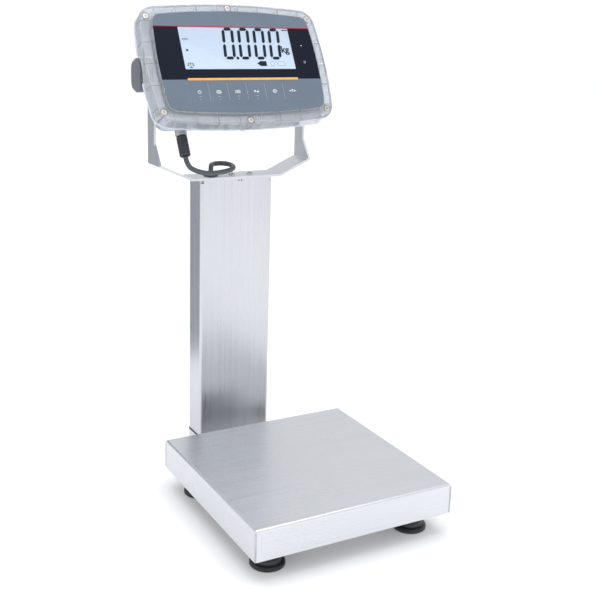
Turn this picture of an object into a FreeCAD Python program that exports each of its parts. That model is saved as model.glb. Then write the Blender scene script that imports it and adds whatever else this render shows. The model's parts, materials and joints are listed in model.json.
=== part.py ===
"""Bench scale: a square weighing pan on a single-point load cell, with a column behind it
that carries a tilting weight indicator in a yoke.

Millimetres, +Z up, floor at z = 0. The pieces are laid out about the middle of the pan and
moved at the end, so that the origin is under the middle of the whole scale.
"""
import FreeCAD, Part
import math
import os

V = FreeCAD.Vector

# ---------------------------------------------------------------- driving dimensions
# Weighing pan
pan_size = 254.0
pan_skirt = 36.8
pan_sheet = 1.5
pan_bend_r = 3.0

# Levelling feet, M8
foot_x = 94.4
foot_y = 92.8
foot_pad_r = 20.0
foot_pad_h = 14.0
foot_socket_depth = 6.0
foot_stud_r = 4.0
foot_stud_top_z = 45.0
foot_thread_pitch = 1.25
foot_travel = 8.0
lock_nut_flats = 13.0
lock_nut_h = 6.5

# Base frame
rail_size = 20.0
rail_wall = 2.0
rail_length = 220.0
rail_z = 28.0
beam_width = 25.0
beam_h = 14.0
beam_wall = 2.0
beam_y = 85.0

# Arm that carries the load cell and the column
arm_plate = 3.0
arm_half_w = 53.0
arm_flange = 12.0
arm_margin = 4.0
arm_corner_r = 10.0

# Load cell and the spider that the pan rests on
cell_length = 130.0
cell_width = 30.0
cell_h = 22.0
cell_bore_r = 7.5
cell_cable_x = -8.0
cell_cable_h = 15.0
cell_spacer = 4.0
spider_spacer = 2.5
spider_plate_t = 3.0
spider_half_w = 32.0
spider_reach = 100.0
pan_pad_xy = 85.0
pan_pad_r = 9.0
pan_pad_h = 4.7
weigh_travel = 0.4
overload_gap = 0.5
stop_x = 62.0
stop_r = 3.0

# Column
column_width = 103.0
column_depth = 39.2
column_gap = 65.0
column_length = 347.5
column_wall = 1.5
column_r = 4.0
column_gasket_t = 1.0
spigot_h = 60.0
spigot_wall = 3.0
cap_t = 4.0
cap_lip = 12.0

# Yoke that holds the indicator
yoke_t = 3.0
yoke_depth = 40.0
yoke_flat_half = 62.5
yoke_inner = 105.0
yoke_arm_z = 400.0
yoke_taper_z = 424.0
yoke_arm_w = 22.0
pivot_z = 509.5
pivot_hole_r = 3.4
yoke_screw_x = (0.0, 26.0)
grommet_x = -30.0
grommet_r = 8.0
grommet_lip = 1.8
cap_hole_r = 6.5

# Indicator, in its own directions: u to the right, v up the face, n out of the face,
# all from the pivot line
tilt = 28.7
face_hu = 126.2
face_hv = 82.3
face_bow_u = 5.8
face_bow_v = 7.2
face_corner_r = 21.0
rear_hu = 101.5
rear_hv = 62.0
rear_r = 14.0
rear_edge_r = 6.0
shell_wall = 2.5
rear_n = -38.4
flange_n = 11.6
flange_t = 3.0
seal_t = 1.0
clear_wall = 3.0
rim_n = 34.0
plateau_n = 38.5
overlay_t = 0.5
overlay_hu = 110.5
overlay_hv = 69.0
overlay_bow_u = 4.0
overlay_bow_v = 6.7
overlay_r = 10.0
overlay_v = -0.2
window_hu = 76.8
window_v = (-10.5, 46.5)
light_v = (-25.3, -22.4)
case_screws = ((113.2, 63.6), (-113.2, 63.6), (113.2, -63.6), (-113.2, -63.6), (0.0, 76.8), (0.0, -76.8))
screw_boss_n = 5.0
screw_boss_r = 4.4
screw_head_r = 4.0
screw_insert_r = 3.2
screw_insert_floor = 1.5
rib_pitch = 28.8
rib_t = 1.6

# Keys
key_count = 6
key_pitch = 25.9
key_w = 24.0
key_h = 28.8
key_v = -42.6
key_cap_t = 0.7
key_travel = 0.4
key_stem_r = 3.0

# Clamping knobs
knob_inner = 109.5
knob_t = 20.0
knob_long = 42.0
knob_wide = 27.0
knob_stud_r = 3.0

# Inside the indicator
board_side_gap = 7.5
board_n = -22.0
board_u = (board_side_gap - rear_hu, -4.0)
board_v = (-52.0, 54.0)
board_t = 1.6
battery_side_gap = 18.5
battery_u = (6.0, rear_hu - battery_side_gap)
battery_v = (-28.0, 52.0)
battery_t = 30.0
keypad_v = -60.0
switch_n = 30.9
insert_l = 12.0

# Blanking plugs in the spare cable entries
plug_hole_u = (25.0, 62.0)
plug_hole_r = 7.0
plug_flats = 19.0
plug_head_h = 5.0

# Sensor plug and cable
plug_side_gap = 24.5
plug_u = plug_side_gap - rear_hu
plug_n = -13.0
plug_nut_r = 7.5
plug_nut_l = 10.0
plug_body_r = 7.0
plug_body_l = 26.0
cable_d = 6.4

# Clearances
slip = 0.2
gap = 0.25

# ---------------------------------------------------------------- worked-out places
pan_half = pan_size / 2
arm_top = rail_z - beam_wall - 0.5
arm_bottom = arm_top - arm_plate
cell_z = arm_top + cell_spacer
cell_top = cell_z + cell_h
cell_cable_z = cell_z + cell_cable_h
spider_z = cell_top + spider_spacer
spider_top = spider_z + spider_plate_t
pan_inner_z = spider_top + pan_pad_h
pan_top_z = pan_inner_z + pan_sheet
column_front = pan_half + column_gap
column_y = column_front + column_depth / 2
column_z = arm_top + column_gasket_t
column_top = column_z + column_length
yoke_bottom = column_top + cap_t
yoke_top = yoke_bottom + yoke_t
yoke_rear = column_front + yoke_depth
yoke_outer = yoke_inner + yoke_t
pivot_y = yoke_rear - yoke_arm_w / 2
row_y = pivot_y - yoke_arm_w / 2
seal_n = flange_n + flange_t
clear_n = seal_n + seal_t
insert_n = screw_boss_n + screw_insert_floor
overlay_n = plateau_n + overlay_t
seal_hu = rear_hu + 5.3
seal_hv = rear_hv + 2.6
socket_v = -(rear_hv + 6.0)
plug_end_v = socket_v - plug_nut_l - plug_body_l

sin_t = math.sin(math.radians(tilt))
cos_t = math.cos(math.radians(tilt))
back_v = rear_hv - rear_edge_r
back_n = rear_n + rear_edge_r
rear_y = pivot_y + back_v * sin_t - back_n * cos_t + rear_edge_r
middle_y = (rear_y - pan_half) / 2

face_place = FreeCAD.Placement(V(0, pivot_y, pivot_z), FreeCAD.Rotation(V(1, 0, 0), 90 - tilt))
to_origin = V(0, -middle_y, 0)


def face_point(u, v, n):
    """A point given along the face, in the scale's own directions."""
    return face_place.multVec(V(u, v, n))


# ---------------------------------------------------------------- shape helpers
def block(x0, x1, y0, y1, z0, z1):
    return Part.makeBox(x1 - x0, y1 - y0, z1 - z0, V(x0, y0, z0))


def rod(radius, height, base, direction=V(0, 0, 1)):
    return Part.makeCylinder(radius, height, base, direction)


def ring(outer, inner, height, base, direction=V(0, 0, 1)):
    return rod(outer, height, base, direction).cut(rod(inner, height, base, direction))


def hexagon(flats, height, base):
    corner = flats / math.sqrt(3)
    turns = [math.radians(60 * i) for i in range(7)]
    points = [base + V(corner * math.cos(a), corner * math.sin(a), 0) for a in turns]
    return Part.Face(Part.makePolygon(points)).extrude(V(0, 0, height))


def rounded_block(x0, x1, y0, y1, z0, z1, radius):
    """A block whose four upright edges are rounded."""
    body = block(x0, x1, y0, y1, z0, z1)
    upright = [e for e in body.Edges if abs(e.tangentAt(e.FirstParameter).z) > 0.99]
    return body.makeFillet(radius, upright)


def rounded_centre(half_x, half_y, z0, z1, radius, centre=(0.0, 0.0)):
    x, y = centre
    return rounded_block(x - half_x, x + half_x, y - half_y, y + half_y, z0, z1, radius)


def bowed_block(half_u, half_v, bow_u, bow_v, radius, n0, n1, centre_v=0.0):
    """A block whose four sides bow outwards, with rounded corners."""
    cu, cv = half_u - bow_u, half_v - bow_v
    arcs = [
        Part.Arc(V(cu, -cv, n0), V(half_u, 0, n0), V(cu, cv, n0)),
        Part.Arc(V(cu, cv, n0), V(0, half_v, n0), V(-cu, cv, n0)),
        Part.Arc(V(-cu, cv, n0), V(-half_u, 0, n0), V(-cu, -cv, n0)),
        Part.Arc(V(-cu, -cv, n0), V(0, -half_v, n0), V(cu, -cv, n0)),
    ]
    body = Part.Face(Part.Wire([arc.toShape() for arc in arcs])).extrude(V(0, 0, n1 - n0))
    upright = [e for e in body.Edges if e.Curve.TypeId == "Part::GeomLine"]
    body = body.makeFillet(radius, upright)
    body.translate(V(0, centre_v, 0))
    return body


def face_outline(inset, n0, n1):
    return bowed_block(face_hu - inset, face_hv - inset, face_bow_u, face_bow_v,
                       face_corner_r - inset, n0, n1)


def turned(profile, centre):
    """A solid turned about an upright line through centre from (radius, z) points."""
    points = [V(r, 0, z) for r, z in profile]
    face = Part.Face(Part.makePolygon(points + points[:1]))
    body = face.revolve(V(0, 0, 0), V(0, 0, 1), 360)
    body.translate(centre)
    return body


def fuse_all(shapes):
    body = shapes[0]
    for shape in shapes[1:]:
        body = body.fuse(shape)
    return body.removeSplitter()


def cord_path(points, radii=None):
    """Straight runs joined by tangent arcs. Without given radii each arc is as large as
    its two runs allow. Returns the wire and the arcs' radii."""
    edges = []
    used = []
    start = points[0]
    for i in range(1, len(points) - 1):
        before = points[i - 1] - points[i]
        after = points[i + 1] - points[i]
        turn = math.pi - before.getAngle(after)
        radius = 0.45 * min(before.Length, after.Length) / math.tan(turn / 2)
        if radii is not None:
            radius = radii[i - 1]
        used.append(radius)
        back = radius * math.tan(turn / 2)
        before.normalize()
        after.normalize()
        middle = before + after
        middle.normalize()
        to_middle = radius / math.cos(turn / 2) - radius
        arc_start = points[i] + before * back
        arc_end = points[i] + after * back
        edges.append(Part.LineSegment(start, arc_start).toShape())
        edges.append(Part.Arc(arc_start, points[i] + middle * to_middle, arc_end).toShape())
        start = arc_end
    edges.append(Part.LineSegment(start, points[-1]).toShape())
    return Part.Wire(edges), used


def cord_tube(points, diameter, name, radii=None):
    path, used = cord_path(points, radii)
    heading = points[1] - points[0]
    circle = Part.Wire(Part.makeCircle(diameter / 2, points[0], heading))
    tube = path.makePipeShell([circle], True, False)
    expected = math.pi * diameter ** 2 / 4 * path.Length
    print(name, "length", round(path.Length, 1), "volume ratio", round(tube.Volume / expected, 4),
          "radii", [round(r, 1) for r in used])
    return tube


# ---------------------------------------------------------------- pan
def weighing_pan():
    z0 = pan_top_z - pan_skirt

    def tub(half, top, radius):
        body = block(-half, half, -half, half, z0, top)
        kept = [e for e in body.Edges if e.CenterOfMass.z > z0 + 0.01]
        return body.makeFillet(radius, kept)

    outer = tub(pan_half, pan_top_z, pan_bend_r)
    inner = tub(pan_half - pan_sheet, pan_inner_z, max(pan_bend_r - pan_sheet, 0.5))
    return outer.cut(inner)


# ---------------------------------------------------------------- base
def foot_places():
    return {"fl": V(-foot_x, -foot_y, 0), "fr": V(foot_x, -foot_y, 0),
            "rl": V(-foot_x, foot_y, 0), "rr": V(foot_x, foot_y, 0)}


def base_rails():
    half = rail_size / 2
    rails = []
    for side in (-1, 1):
        x = side * foot_x
        end = rail_length / 2
        tube = rounded_block(x - half, x + half, -end, end, rail_z, rail_z + rail_size, 0.1)
        bore = block(x - half + rail_wall, x + half - rail_wall, -end, end,
                     rail_z + rail_wall, rail_z + rail_size - rail_wall)
        tube = tube.cut(bore)
        for y in (-foot_y, foot_y):
            tube = tube.cut(rod(foot_stud_r + slip, rail_wall * 2, V(x, y, rail_z - rail_wall)))
        rails.append(tube)
    return Part.Compound(rails)


def stop_places():
    return [V(x, y, 0) for x in (-stop_x, stop_x) for y in (-beam_y, beam_y)]


def cross_beams():
    reach = foot_x - rail_size / 2
    beams = []
    for y in (-beam_y, beam_y):
        outer = block(-reach, reach, y - beam_width / 2, y + beam_width / 2, arm_top, arm_top + beam_h)
        bore = block(-reach, reach, y - beam_width / 2 + beam_wall, y + beam_width / 2 - beam_wall,
                     arm_top + beam_wall, arm_top + beam_h - beam_wall)
        beam = outer.cut(bore)
        for place in stop_places():
            if place.y == y:
                beam = beam.cut(rod(stop_r, beam_wall * 2, place + V(0, 0, arm_top + beam_h - beam_wall * 1.5)))
        beams.append(beam)
    return Part.Compound(beams)


def overload_stops():
    """Set screws in the beams, with the lock nuts on them, just short of the spider."""
    stops = []
    beam_top = arm_top + beam_h
    for place in stop_places():
        screw = rod(stop_r, spider_z - overload_gap - beam_top + 8, place + V(0, 0, beam_top - 8))
        nut = hexagon(10.0, 5.0, place + V(0, 0, beam_top))
        stops.append(screw.fuse(nut))
    return Part.Compound(stops)


def foot_nuts():
    """Under each rail the lock nut, and inside the rail the welded nut."""
    nuts = []
    for place in foot_places().values():
        bore = rod(foot_stud_r + slip, 60, place)
        nuts.append(hexagon(lock_nut_flats, lock_nut_h, place + V(0, 0, rail_z - lock_nut_h)).cut(bore))
        nuts.append(hexagon(lock_nut_flats, lock_nut_h, place + V(0, 0, rail_z + rail_wall)).cut(bore))
    return Part.Compound(nuts)


def foot_pad(place):
    floor_r = foot_pad_r - 1.0
    bore = foot_stud_r + slip
    seat = foot_pad_h - foot_socket_depth
    profile = [(0, 0), (floor_r, 0), (foot_pad_r, 1.0), (foot_pad_r, 4.2), (foot_pad_r - 1.2, 5.4),
               (15.8, 6.4), (14.6, 10.0), (12.6, 12.8), (10.4, foot_pad_h), (bore, foot_pad_h),
               (bore, seat), (0, seat)]
    return turned(profile, place)


def foot_stud(place):
    """A threaded stud with a hex collar that comes up against the lock nut."""
    seat = foot_pad_h - foot_socket_depth
    collar_h = rail_z - lock_nut_h - foot_pad_h - slip
    stud = rod(foot_stud_r, foot_stud_top_z - seat, place + V(0, 0, seat))
    return stud.fuse(hexagon(lock_nut_flats, collar_h, place + V(0, 0, foot_pad_h)))


def column_arm():
    """A folded plate: load cell bed at the front, column seat at the rear."""
    front = -(beam_y + beam_width / 2)
    rear = column_front + column_depth + arm_margin
    plate = block(-arm_half_w, arm_half_w, front, rear, arm_bottom, arm_top)
    corners = [e for e in plate.Edges
               if abs(e.tangentAt(e.FirstParameter).z) > 0.99 and e.CenterOfMass.y > rear - 1]
    plate = plate.makeFillet(arm_corner_r, corners)
    flanges = [block(x, x + arm_plate, front, rear - arm_corner_r, arm_bottom - arm_flange, arm_bottom)
               for x in (-arm_half_w, arm_half_w - arm_plate)]
    arm = fuse_all([plate] + flanges)
    for y in cell_screw_y(1):
        arm = arm.cut(rod(3.2, arm_plate * 3, V(0, y, arm_bottom - arm_plate)))
    for place in cable_openings():
        arm = arm.cut(place)
    return arm


def cable_openings():
    slot_front = rounded_block(cell_cable_x - 6, cell_cable_x + 6, 100, 122,
                               arm_bottom - 1, arm_top + 1, 5.5)
    slot_rear = rounded_block(grommet_x - 6, grommet_x + 6, row_y - 16, row_y + 7,
                              arm_bottom - 1, arm_top + 1, 5.5)
    return [slot_front, slot_rear]


# ---------------------------------------------------------------- load cell
def cell_screw_y(end):
    """Screw places at the rear (1) or front (-1) end of the load cell."""
    return (end * (cell_length / 2 - 9), end * (cell_length / 2 - 21))


def load_cell():
    """A single-point cell: a bar with two joined cross bores."""
    half = cell_length / 2
    bar = block(-cell_width / 2, cell_width / 2, -half, half, cell_z, cell_top)
    middle = cell_z + cell_h / 2
    across = V(1, 0, 0)
    for y in (-12.0, 12.0):
        bar = bar.cut(rod(cell_bore_r, cell_width, V(-cell_width / 2, y, middle), across))
    bar = bar.cut(block(-cell_width / 2, cell_width / 2, -12, 12, middle - 2, middle + 2))
    for y in cell_screw_y(1):
        bar = bar.cut(rod(3.0, cell_h - 5, V(0, y, cell_z)))
    for y in cell_screw_y(-1):
        bar = bar.cut(rod(3.0, cell_h - 5, V(0, y, cell_z + 5)))
    return bar


def spacer(end, z0, z1):
    inner = end * (cell_length / 2 - 28)
    outer = end * cell_length / 2
    body = block(-cell_width / 2, cell_width / 2, min(inner, outer), max(inner, outer), z0, z1)
    for y in cell_screw_y(end):
        body = body.cut(rod(3.2, z1 - z0, V(0, y, z0)))
    return body


def cell_bolts_lower():
    bolts = []
    for y in cell_screw_y(1):
        head = rod(5.0, 4.5, V(0, y, arm_bottom - 4.5))
        bolts.append(head.fuse(rod(3.0, cell_z + 14 - arm_bottom, V(0, y, arm_bottom))))
    return Part.Compound(bolts)


def cell_bolts_upper():
    bolts = []
    for y in cell_screw_y(-1):
        head = rod(5.0, 3.2, V(0, y, spider_top))
        bolts.append(head.fuse(rod(3.0, spider_top - cell_top + 14, V(0, y, cell_top - 14))))
    return Part.Compound(bolts)


def spider_plate():
    reach = beam_y - beam_width / 2
    plate = block(-spider_half_w, spider_half_w, -reach, reach, spider_z, spider_top)
    for y in cell_screw_y(-1):
        plate = plate.cut(rod(3.2, spider_plate_t, V(0, y, spider_z)))
    return plate


def spider_bars():
    bars = []
    for y in (-beam_y, beam_y):
        bars.append(rounded_centre(spider_reach, beam_width / 2, spider_z, spider_top, 5, (0, y)))
    return Part.Compound(bars)


def pan_pads():
    places = [(x, y) for x in (-pan_pad_xy, pan_pad_xy) for y in (-pan_pad_xy, pan_pad_xy)]
    return Part.Compound([rod(pan_pad_r, pan_pad_h, V(x, y, spider_top)) for x, y in places])


def level_vial():
    """A round bubble level on the front cross beam."""
    base = V(30, -beam_y, arm_top + beam_h)
    body = turned([(0, 0), (9, 0), (9, 5.5), (8, 6.5), (0, 6.5)], base)
    return body


# ---------------------------------------------------------------- column
def column_outline(inset, z0, z1):
    return rounded_centre(column_width / 2 - inset, column_depth / 2 - inset, z0, z1,
                          max(column_r - inset, 0.5), (0, column_y))


def column_tube():
    tube = column_outline(0, column_z, column_top).cut(column_outline(column_wall, column_z, column_top))
    for place in column_screw_places():
        tube = tube.cut(rod(2.6, 8, place + V(0, -6, 0), V(0, 1, 0)))
    return tube


def column_screw_places():
    rear = column_front + column_depth
    return [V(x, rear, arm_top + z) for x in (-30, 30) for z in (18, 44)]


def column_screws():
    screws = []
    for place in column_screw_places():
        head = rod(4.6, 2.6, place, V(0, 1, 0))
        head = head.makeFillet(1.0, [e for e in head.Edges if e.CenterOfMass.y > place.y + 2])
        head = head.cut(rod(1.6, 1.6, place + V(0, 1.1, 0), V(0, 1, 0)))
        screws.append(head.fuse(rod(2.4, 5.5, place + V(0, -5.5, 0), V(0, 1, 0))))
    return Part.Compound(screws)


def column_spigot():
    inset = column_wall + slip
    spigot = column_outline(inset, arm_top, arm_top + spigot_h)
    spigot = spigot.cut(column_outline(inset + spigot_wall, arm_top, arm_top + spigot_h))
    for place in column_screw_places():
        spigot = spigot.cut(rod(2.4, 8, place + V(0, -7, 0), V(0, 1, 0)))
    return spigot


def column_gasket():
    hole = column_outline(column_wall + slip, arm_top, column_z)
    return column_outline(-0.6, arm_top, column_z).cut(hole)


def column_cap():
    cap = column_outline(0, column_top, yoke_bottom)
    lip = column_outline(column_wall + slip, column_top - cap_lip, column_top)
    lip = lip.cut(column_outline(column_wall + slip + 2, column_top - cap_lip, column_top))
    cap = fuse_all([cap, lip])
    half = column_width / 2
    for x in (-half, half):
        cap = cap.cut(block(x - 4.5, x + 4.5, column_front, column_front + 4.5, column_top, yoke_bottom))
    cap = cap.cut(rod(cap_hole_r, cap_t * 2, V(grommet_x, row_y, column_top - 1)))
    for x in yoke_screw_x:
        cap = cap.cut(rod(2.0, cap_t, V(x, row_y, column_top)))
    for x in (2.0, 6.0):
        cap = cap.cut(rod(1.1, 3, V(x, column_front, column_top + cap_t / 2), V(0, 1, 0)))
    return cap


# ---------------------------------------------------------------- yoke
def yoke_centre_line():
    """The upper, inner line of the bent strip, left to right."""
    right = [(yoke_flat_half, yoke_top), (yoke_inner, yoke_arm_z), (yoke_inner, pivot_z + yoke_arm_w / 2)]
    left = [(-x, z) for x, z in reversed(right)]
    return left + right


def offset_line(points, distance):
    """The same line moved sideways by distance, with mitred bends."""
    normals = []
    for (x0, z0), (x1, z1) in zip(points, points[1:]):
        length = math.hypot(x1 - x0, z1 - z0)
        normals.append(((z1 - z0) / length, -(x1 - x0) / length))
    moved = []
    for i, (x, z) in enumerate(points):
        a = normals[max(i - 1, 0)]
        b = normals[min(i, len(normals) - 1)]
        share = distance / (1 + a[0] * b[0] + a[1] * b[1])
        moved.append((x + share * (a[0] + b[0]), z + share * (a[1] + b[1])))
    return moved


def indicator_bracket():
    inner = yoke_centre_line()
    outer = offset_line(inner, yoke_t)
    outline = [V(x, column_front, z) for x, z in inner + outer[::-1]]
    strip = Part.Face(Part.makePolygon(outline + outline[:1])).extrude(V(0, yoke_depth, 0))
    # Side view: full depth at the bottom, tapering to the arms with round tops
    top = pivot_z
    centre = V(0, pivot_y, top)
    left = V(0, row_y, top)
    right = V(0, yoke_rear, top)
    arc = Part.Arc(left, centre + V(0, 0, yoke_arm_w / 2), right).toShape()
    side = [V(0, row_y, top), V(0, row_y, yoke_taper_z), V(0, column_front, yoke_arm_z),
            V(0, column_front, yoke_bottom), V(0, yoke_rear, yoke_bottom), V(0, yoke_rear, top)]
    lines = [Part.LineSegment(a, b).toShape() for a, b in zip(side, side[1:])]
    mask = Part.Face(Part.Wire(lines + [arc])).extrude(V(2 * yoke_outer, 0, 0))
    mask.translate(V(-yoke_outer, 0, 0))
    bracket = strip.common(mask)
    bends = []
    for edge in bracket.Edges:
        along_y = edge.Curve.TypeId == "Part::GeomLine" and abs(edge.tangentAt(edge.FirstParameter).y) > 0.99
        if along_y and edge.Length > yoke_depth - 1 and abs(edge.CenterOfMass.x) > 1:
            bends.append(edge)
    bracket = bracket.makeFillet(2.5, bends)
    for x in (-yoke_outer, yoke_inner):
        bracket = bracket.cut(rod(pivot_hole_r, yoke_t, V(x, pivot_y, pivot_z), V(1, 0, 0)))
    bracket = bracket.cut(rod(grommet_r, yoke_t, V(grommet_x, row_y, yoke_bottom)))
    for x in yoke_screw_x:
        bracket = bracket.cut(rod(2.2, yoke_t, V(x, row_y, yoke_bottom)))
    return bracket


def bracket_screws():
    screws = []
    for x in yoke_screw_x:
        base = V(x, row_y, yoke_top)
        head = turned([(0, 0), (4.2, 0), (4.2, 0.8), (3.0, 2.2), (1.3, 2.2), (1.3, 1.0), (0, 1.0)], base)
        screws.append(head.fuse(rod(2.0, 12, base - V(0, 0, 12))))
    return Part.Compound(screws)


def cable_grommet():
    """A low rubber ring set in the yoke and the cap."""
    lip_r = grommet_r + grommet_lip
    inner = cable_d / 2 + 0.4
    z = yoke_top
    skirt = z - yoke_t - cap_t
    profile = [(inner, skirt), (cap_hole_r, skirt), (cap_hole_r, yoke_bottom), (grommet_r, yoke_bottom),
               (grommet_r, z), (lip_r, z), (lip_r - 0.8, z + 1.6), (inner + 1.6, z + 1.9), (inner, z + 1.0)]
    return turned(profile, V(grommet_x, row_y, 0))


# ---------------------------------------------------------------- indicator, along its face
def scallops(shape):
    """Room round the clamping knobs behind the rim."""
    for u in (-face_hu - 10, yoke_outer - 0.5):
        shape = shape.cut(rod(knob_long / 2 + 1.5, face_hu + 10.5 - yoke_outer, V(u, 0, 0), V(1, 0, 0)))
    return shape


def rear_housing():
    outer = rounded_centre(rear_hu, rear_hv, rear_n, flange_n, rear_r)
    back = [e for e in outer.Edges if e.CenterOfMass.z < rear_n + 0.01]
    outer = outer.makeFillet(rear_edge_r, back)
    flange = face_outline(0, flange_n, seal_n)
    bosses = [rod(screw_boss_r, flange_n - screw_boss_n, V(u, v, screw_boss_n)) for u, v in case_screws]
    shell = fuse_all([outer, flange] + bosses)
    inner = rounded_centre(rear_hu - shell_wall, rear_hv - shell_wall, rear_n + shell_wall, seal_n,
                           rear_r - shell_wall)
    back = [e for e in inner.Edges if e.CenterOfMass.z < rear_n + shell_wall + 0.01]
    inner = inner.makeFillet(rear_edge_r - shell_wall, back)
    boss_l = insert_l + 4
    for u in (-rear_hu, rear_hu - boss_l):
        inner = inner.cut(rod(8.5, boss_l, V(u, 0, 0), V(1, 0, 0)))
    for u, v in board_posts():
        inner = inner.cut(rod(3.0, board_n - rear_n, V(u, v, rear_n)))
    shell = shell.cut(inner)
    for u, v in case_screws:
        shell = shell.cut(rod(screw_insert_r, seal_n - insert_n, V(u, v, insert_n)))
    for u in (-rear_hu, rear_hu - insert_l):
        shell = shell.cut(rod(5.5, insert_l, V(u, 0, 0), V(1, 0, 0)))
    shell = shell.cut(rod(6.5, 8, V(plug_u, -rear_hv - 2, plug_n), V(0, 1, 0)))
    for u in plug_hole_u:
        shell = shell.cut(rod(plug_hole_r, 8, V(u, -rear_hv - 2, plug_n), V(0, 1, 0)))
    # Cooling and grip ribs moulded on the back
    ribs = [rounded_centre(rear_hu - 26, 1.2, rear_n - 1.2, rear_n, 0.6, (0, v)) for v in range(-48, 49, 12)]
    shell = fuse_all([shell] + ribs)
    return scallops(shell)


def board_posts():
    us = (board_u[0] + 6, board_u[1] - 6)
    vs = (board_v[0] + 6, board_v[1] - 6)
    return [(u, v) for u in us for v in vs]


def main_board():
    top = board_n + board_t
    board = rounded_block(board_u[0], board_u[1], board_v[0], board_v[1], board_n, top, 2)
    # Processor, transformer, terminal block and connector: corner, size and height of each
    left, right = board_u
    parts = [((right - 56, 5), (18, 18), 2.4), ((right - 30, -30), (22, 22), 10.4),
             ((left + 6, -20), (18, 28), 7.4), ((left + 32, 36), (32, 12), 6.4)]
    for (u, v), (width, length), height in parts:
        board = board.fuse(block(u, u + width, v, v + length, top, top + height))
    return board.removeSplitter()


def battery_pack():
    floor = rear_n + shell_wall
    return rounded_block(battery_u[0], battery_u[1], battery_v[0], battery_v[1],
                         floor, floor + battery_t, 3)


def blanking_plugs():
    """Hex-headed plugs that close the cable entries that aren't in use."""
    plugs = []
    for u in plug_hole_u:
        head = hexagon(plug_flats, plug_head_h, V(0, 0, 0))
        rim = [e for e in head.Edges if abs(e.CenterOfMass.z - plug_head_h) < 0.01]
        head = head.makeChamfer(0.8, rim)
        plug = head.fuse(rod(plug_hole_r, shell_wall + 4, V(0, 0, -shell_wall - 4)))
        plug.Placement = FreeCAD.Placement(V(u, -rear_hv, plug_n), FreeCAD.Rotation(V(1, 0, 0), 90))
        plugs.append(plug)
    return Part.Compound(plugs)


def housing_gasket():
    outer = rounded_centre(seal_hu - 0.4, seal_hv - 0.4, seal_n, clear_n, rear_r + 4)
    inner = rounded_centre(rear_hu - 0.5, rear_hv - 0.5, seal_n, clear_n, rear_r)
    return outer.cut(inner)


def key_places():
    first = -key_pitch * (key_count - 1) / 2
    return [(first + i * key_pitch, key_v) for i in range(key_count)]


def front_housing():
    """The clear front: a rim with cross ribs round a raised plateau."""
    ceiling = rim_n - clear_wall
    body = face_outline(0, seal_n + slip, rim_n)
    edge = [e for e in body.Edges if e.CenterOfMass.z > rim_n - 0.01]
    body = body.makeFillet(2.0, edge)
    plateau = bowed_block(overlay_hu + 1.2, overlay_hv + 1.2, overlay_bow_u, overlay_bow_v,
                          overlay_r + 1.2, rim_n - 1, plateau_n, overlay_v)
    body = fuse_all([body, plateau])
    trough = face_outline(clear_wall, seal_n, ceiling)
    trough = trough.cut(rounded_centre(seal_hu, seal_hv, seal_n, ceiling, rear_r + 4))
    for u, v in case_screws:
        trough = trough.cut(rod(5.2, ceiling, V(u, v, 0)))
    steps = int(face_hu // rib_pitch)
    for i in range(-steps, steps + 1):
        u = (i + 0.5) * rib_pitch
        trough = trough.cut(block(u - rib_t / 2, u + rib_t / 2, -face_hv, face_hv, clear_n + 2, ceiling))
    for i in range(-2, 3):
        v = i * rib_pitch
        trough = trough.cut(block(-face_hu, face_hu, v - rib_t / 2, v + rib_t / 2, clear_n + 2, ceiling))
    body = body.cut(trough)
    cavity = rounded_centre(seal_hu - clear_wall, seal_hv - clear_wall, seal_n, plateau_n - clear_wall, rear_r)
    body = body.cut(cavity)
    body = body.cut(rounded_centre(seal_hu, seal_hv, seal_n, clear_n, rear_r + 4))
    for u, v in case_screws:
        body = body.cut(rod(2.2, rim_n, V(u, v, 0)))
        body = body.cut(rod(screw_head_r + 0.4, clear_wall, V(u, v, ceiling)))
    mid_v = sum(window_v) / 2
    body = body.cut(rounded_centre(window_hu, (window_v[1] - window_v[0]) / 2, ceiling, overlay_n, 1.0, (0, mid_v)))
    mid_v = sum(light_v) / 2
    body = body.cut(rounded_centre(window_hu, (light_v[1] - light_v[0]) / 2, ceiling, overlay_n, 1.0, (0, mid_v)))
    for place in key_places():
        pocket_n = overlay_n - key_cap_t - key_travel - slip
        body = body.cut(rounded_centre(key_w / 2 + gap, key_h / 2 + gap, pocket_n, overlay_n, 2.0, place))
        body = body.cut(rod(key_stem_r + 0.4, overlay_n - ceiling, V(place[0], place[1], ceiling)))
    return scallops(body)


def overlay():
    sheet = bowed_block(overlay_hu, overlay_hv, overlay_bow_u, overlay_bow_v, overlay_r,
                        plateau_n, overlay_n, overlay_v)
    for v0, v1 in (window_v, light_v):
        sheet = sheet.cut(rounded_centre(window_hu, (v1 - v0) / 2, plateau_n, overlay_n, 1.0, (0, (v0 + v1) / 2)))
    for place in key_places():
        sheet = sheet.cut(rounded_centre(key_w / 2 + gap, key_h / 2 + gap, plateau_n, overlay_n, 2.0, place))
    return sheet


def pane(v_range, n0):
    v0, v1 = v_range
    return rounded_centre(window_hu - 0.05, (v1 - v0) / 2 - 0.05, n0, overlay_n - 0.1, 1.0, (0, (v0 + v1) / 2))


def lcd_module():
    v0, v1 = window_v
    return rounded_block(-window_hu - 4, window_hu + 4, v0 - 3.5, v1 + 3.5, plateau_n - clear_wall - 8,
                         plateau_n - clear_wall, 1.5)


def keypad_board():
    """The board under the keys, with one small switch under each."""
    board_top = switch_n - 3.9
    board = rounded_block(-window_hu - 4, window_hu + 4, keypad_v, light_v[0] - 1.0,
                          board_top - board_t, board_top, 2)
    switches = [block(u - 3, u + 3, v - 3, v + 3, board_top, switch_n) for u, v in key_places()]
    return fuse_all([board] + switches)


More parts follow.
